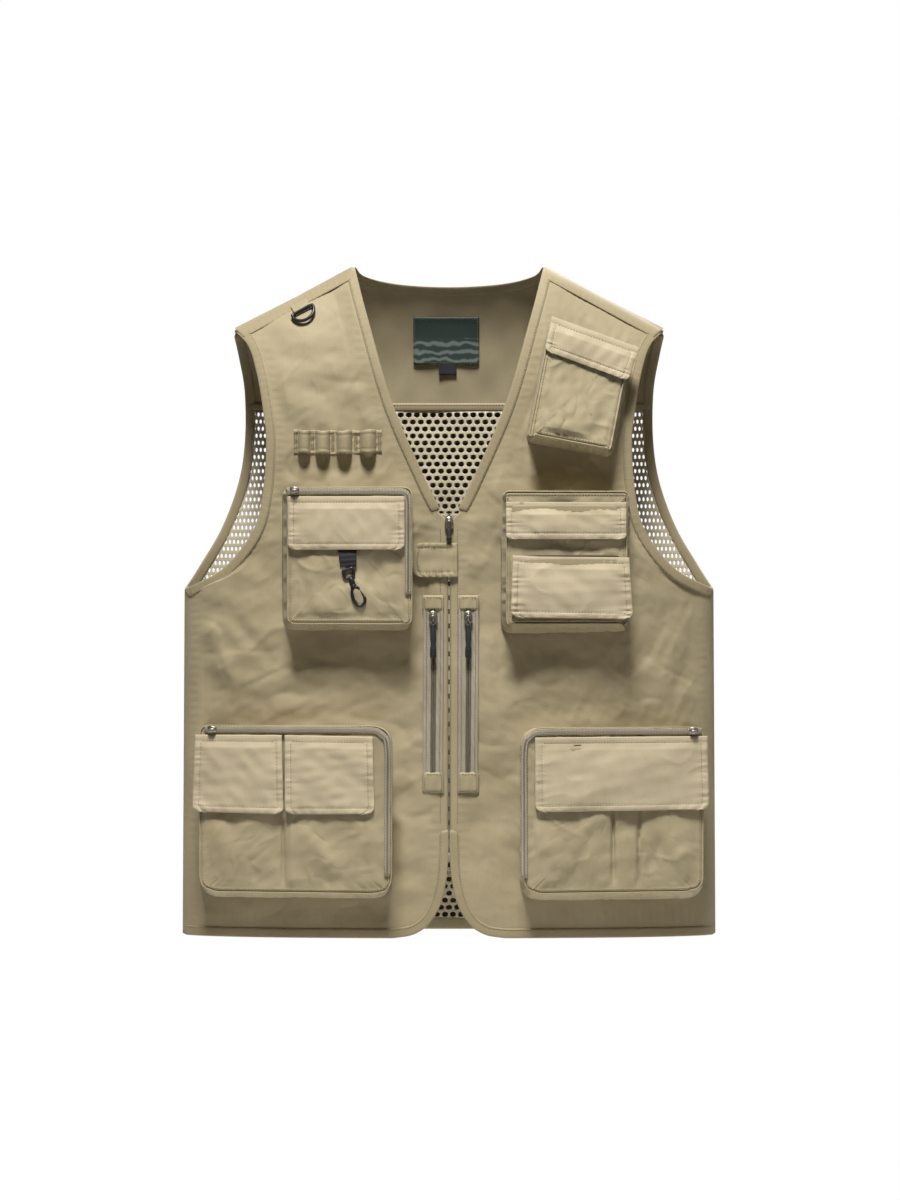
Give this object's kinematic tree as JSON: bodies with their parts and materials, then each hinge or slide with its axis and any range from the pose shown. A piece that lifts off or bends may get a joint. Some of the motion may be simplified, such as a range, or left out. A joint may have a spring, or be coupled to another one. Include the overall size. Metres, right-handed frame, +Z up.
{
  "type": "fishing vest",
  "caption": "Sleeveless V-neck fishing vest of khaki nylon with a mesh lining, bellows pockets under flaps, coil zips, fly loops, a D-ring and a snap hook.",
  "frame": {"origin": "midway between the two neck points at the top of the shoulder seams, where a hanger bears", "axes": "+Z up, -Y out of the front, +X to the viewer's right (the wearer's left)"},
  "size_m": [0.562, 0.1801, 0.6983],
  "materials": {
    "khaki_nylon": "woven, matte",
    "flap_nylon": "woven, matte",
    "binding": "folded and stitched",
    "mesh": "knitted honeycomb",
    "zip_tape": "woven tape with nylon coil",
    "webbing": "woven",
    "label": "woven",
    "black_plastic": "moulded",
    "zinc": "dark nickel"
  },
  "bodies": {
    "vest": {"back_hem_band": "binding", "back_mesh_lining": "mesh", "back_neck_binding": "binding", "back_outer_panel": "khaki_nylon", "back_yoke": "khaki_nylon", "chest_left_pocket": "khaki_nylon", "chest_right_pocket": "khaki_nylon", "chest_right_zip": "zip_tape", "d_ring_tab": "khaki_nylon", "fly_loop_strip": "khaki_nylon", "front_slider": "zinc", "hook_tab": "webbing", "left_armhole_binding": "binding", "left_back_armhole_binding": "binding", "left_front_panel": "khaki_nylon", "left_front_zip": "zip_tape", "left_hem_binding": "binding", "left_neck_binding": "binding", "left_welt_zip": "zip_tape", "lower_left_pocket": "khaki_nylon", "lower_left_zip": "zip_tape", "lower_right_pocket": "khaki_nylon", "lower_right_zip": "zip_tape", "neck_label": "label", "right_armhole_binding": "binding", "right_back_armhole_binding": "binding", "right_front_panel": "khaki_nylon", "right_front_zip": "zip_tape", "right_hem_binding": "binding", "right_neck_binding": "binding", "right_welt_zip": "zip_tape", "shoulder_pocket": "khaki_nylon", "size_tag": "webbing"},
    "shoulder_flap": {"shoulder_flap": "flap_nylon"},
    "chest_right_flap": {"chest_right_flap": "flap_nylon"},
    "chest_left_top_flap": {"chest_left_top_flap": "flap_nylon"},
    "chest_left_front_flap": {"chest_left_front_flap": "flap_nylon"},
    "lower_right_outer_flap": {"lower_right_outer_flap": "flap_nylon"},
    "lower_right_inner_flap": {"lower_right_inner_flap": "flap_nylon"},
    "lower_left_flap": {"lower_left_flap": "flap_nylon"},
    "storm_tab": {"storm_tab": "khaki_nylon"},
    "right_welt_slider": {"right_welt_slider": "zinc"},
    "left_welt_slider": {"left_welt_slider": "zinc"},
    "chest_zip_slider": {"chest_zip_slider": "zinc"},
    "lower_right_zip_slider": {"lower_right_zip_slider": "zinc"},
    "lower_left_zip_slider": {"lower_left_zip_slider": "zinc"},
    "right_welt_pull": {"right_welt_pull": "black_plastic"},
    "left_welt_pull": {"left_welt_pull": "black_plastic"},
    "front_slider_pull": {"front_slider_pull": "black_plastic"},
    "d_ring": {"d_ring": "black_plastic"},
    "snap_hook": {"snap_hook": "black_plastic"},
    "hook_gate": {"hook_gate": "black_plastic"}
  },
  "joints": [
    {"name": "shoulder_flap_hinge", "type": "hinge", "parent": "vest", "child": "shoulder_flap", "pos_m": [0.152, -0.07201, -0.073], "axis": [-0.936, -0.1145, 0.3328], "range_deg": [0, 90]},
    {"name": "chest_right_flap_hinge", "type": "hinge", "parent": "vest", "child": "chest_right_flap", "pos_m": [-0.106, -0.0953, -0.2426], "axis": [-0.9968, 0.0804, 0], "range_deg": [0, 90]},
    {"name": "chest_left_top_flap_hinge", "type": "hinge", "parent": "vest", "child": "chest_left_top_flap", "pos_m": [0.121, -0.09407, -0.249], "axis": [-0.9949, -0.1008, 0], "range_deg": [0, 90]},
    {"name": "chest_left_front_flap_hinge", "type": "hinge", "parent": "vest", "child": "chest_left_front_flap", "pos_m": [0.126, -0.09358, -0.306], "axis": [-0.9949, -0.1008, 0], "range_deg": [0, 90]},
    {"name": "lower_right_outer_flap_hinge", "type": "hinge", "parent": "vest", "child": "lower_right_outer_flap", "pos_m": [-0.22, -0.08182, -0.49], "axis": [-0.9799, 0.1995, 0], "range_deg": [0, 90]},
    {"name": "lower_right_inner_flap_hinge", "type": "hinge", "parent": "vest", "child": "lower_right_inner_flap", "pos_m": [-0.124, -0.10137, -0.49], "axis": [-0.9799, 0.1995, 0], "range_deg": [0, 90]},
    {"name": "lower_left_flap_hinge", "type": "hinge", "parent": "vest", "child": "lower_left_flap", "pos_m": [0.18, -0.09033, -0.4918], "axis": [-0.9736, -0.2283, 0], "range_deg": [0, 90]},
    {"name": "storm_tab_hinge", "type": "hinge", "parent": "vest", "child": "storm_tab", "pos_m": [0.009, -0.0717, -0.3095], "axis": [0, 0, 1], "range_deg": [0, 90]},
    {"name": "right_welt_slide", "type": "slide", "parent": "vest", "child": "right_welt_slider", "axis": [0, 0, -1], "range_m": [0, 0.15]},
    {"name": "left_welt_slide", "type": "slide", "parent": "vest", "child": "left_welt_slider", "axis": [0, 0, -1], "range_m": [0, 0.15]},
    {"name": "chest_zip_slide", "type": "slide", "parent": "vest", "child": "chest_zip_slider", "axis": [0.9968, -0.0804, 0], "range_m": [0, 0.105]},
    {"name": "lower_right_zip_slide", "type": "slide", "parent": "vest", "child": "lower_right_zip_slider", "axis": [0.9799, -0.1995, 0], "range_m": [0, 0.165]},
    {"name": "lower_left_zip_slide", "type": "slide", "parent": "vest", "child": "lower_left_zip_slider", "axis": [-0.9736, -0.2283, 0], "range_m": [0, 0.155]},
    {"name": "right_welt_pull_hinge", "type": "hinge", "parent": "right_welt_slider", "child": "right_welt_pull", "pos_m": [-0.0165, -0.0783, -0.3685], "axis": [-1, 0, 0], "range_deg": [0, 95]},
    {"name": "left_welt_pull_hinge", "type": "hinge", "parent": "left_welt_slider", "child": "left_welt_pull", "pos_m": [0.02, -0.0783, -0.3685], "axis": [-1, 0, 0], "range_deg": [0, 95]},
    {"name": "front_pull_hinge", "type": "hinge", "parent": "vest", "child": "front_slider_pull", "pos_m": [0, -0.076, -0.2705], "axis": [-1, 0, 0], "range_deg": [0, 95]},
    {"name": "d_ring_hinge", "type": "hinge", "parent": "vest", "child": "d_ring", "pos_m": [-0.15239, -0.03587, -0.04984], "axis": [-0.8796, 0.0279, -0.475], "range_deg": [0, 70]},
    {"name": "snap_hook_hinge", "type": "hinge", "parent": "vest", "child": "snap_hook", "pos_m": [-0.1055, -0.09515, -0.3188], "axis": [-0.9332, 0.0752, -0.3513], "range_deg": [0, 90]},
    {"name": "hook_gate_hinge", "type": "hinge", "parent": "snap_hook", "child": "hook_gate", "pos_m": [-0.09372, -0.0961, -0.34044], "axis": [0.0804, 0.9968, -0.0002], "range_deg": [0, 25], "stiffness_Nm_per_rad": 0.02, "springref_deg": -11.46}
  ]
}
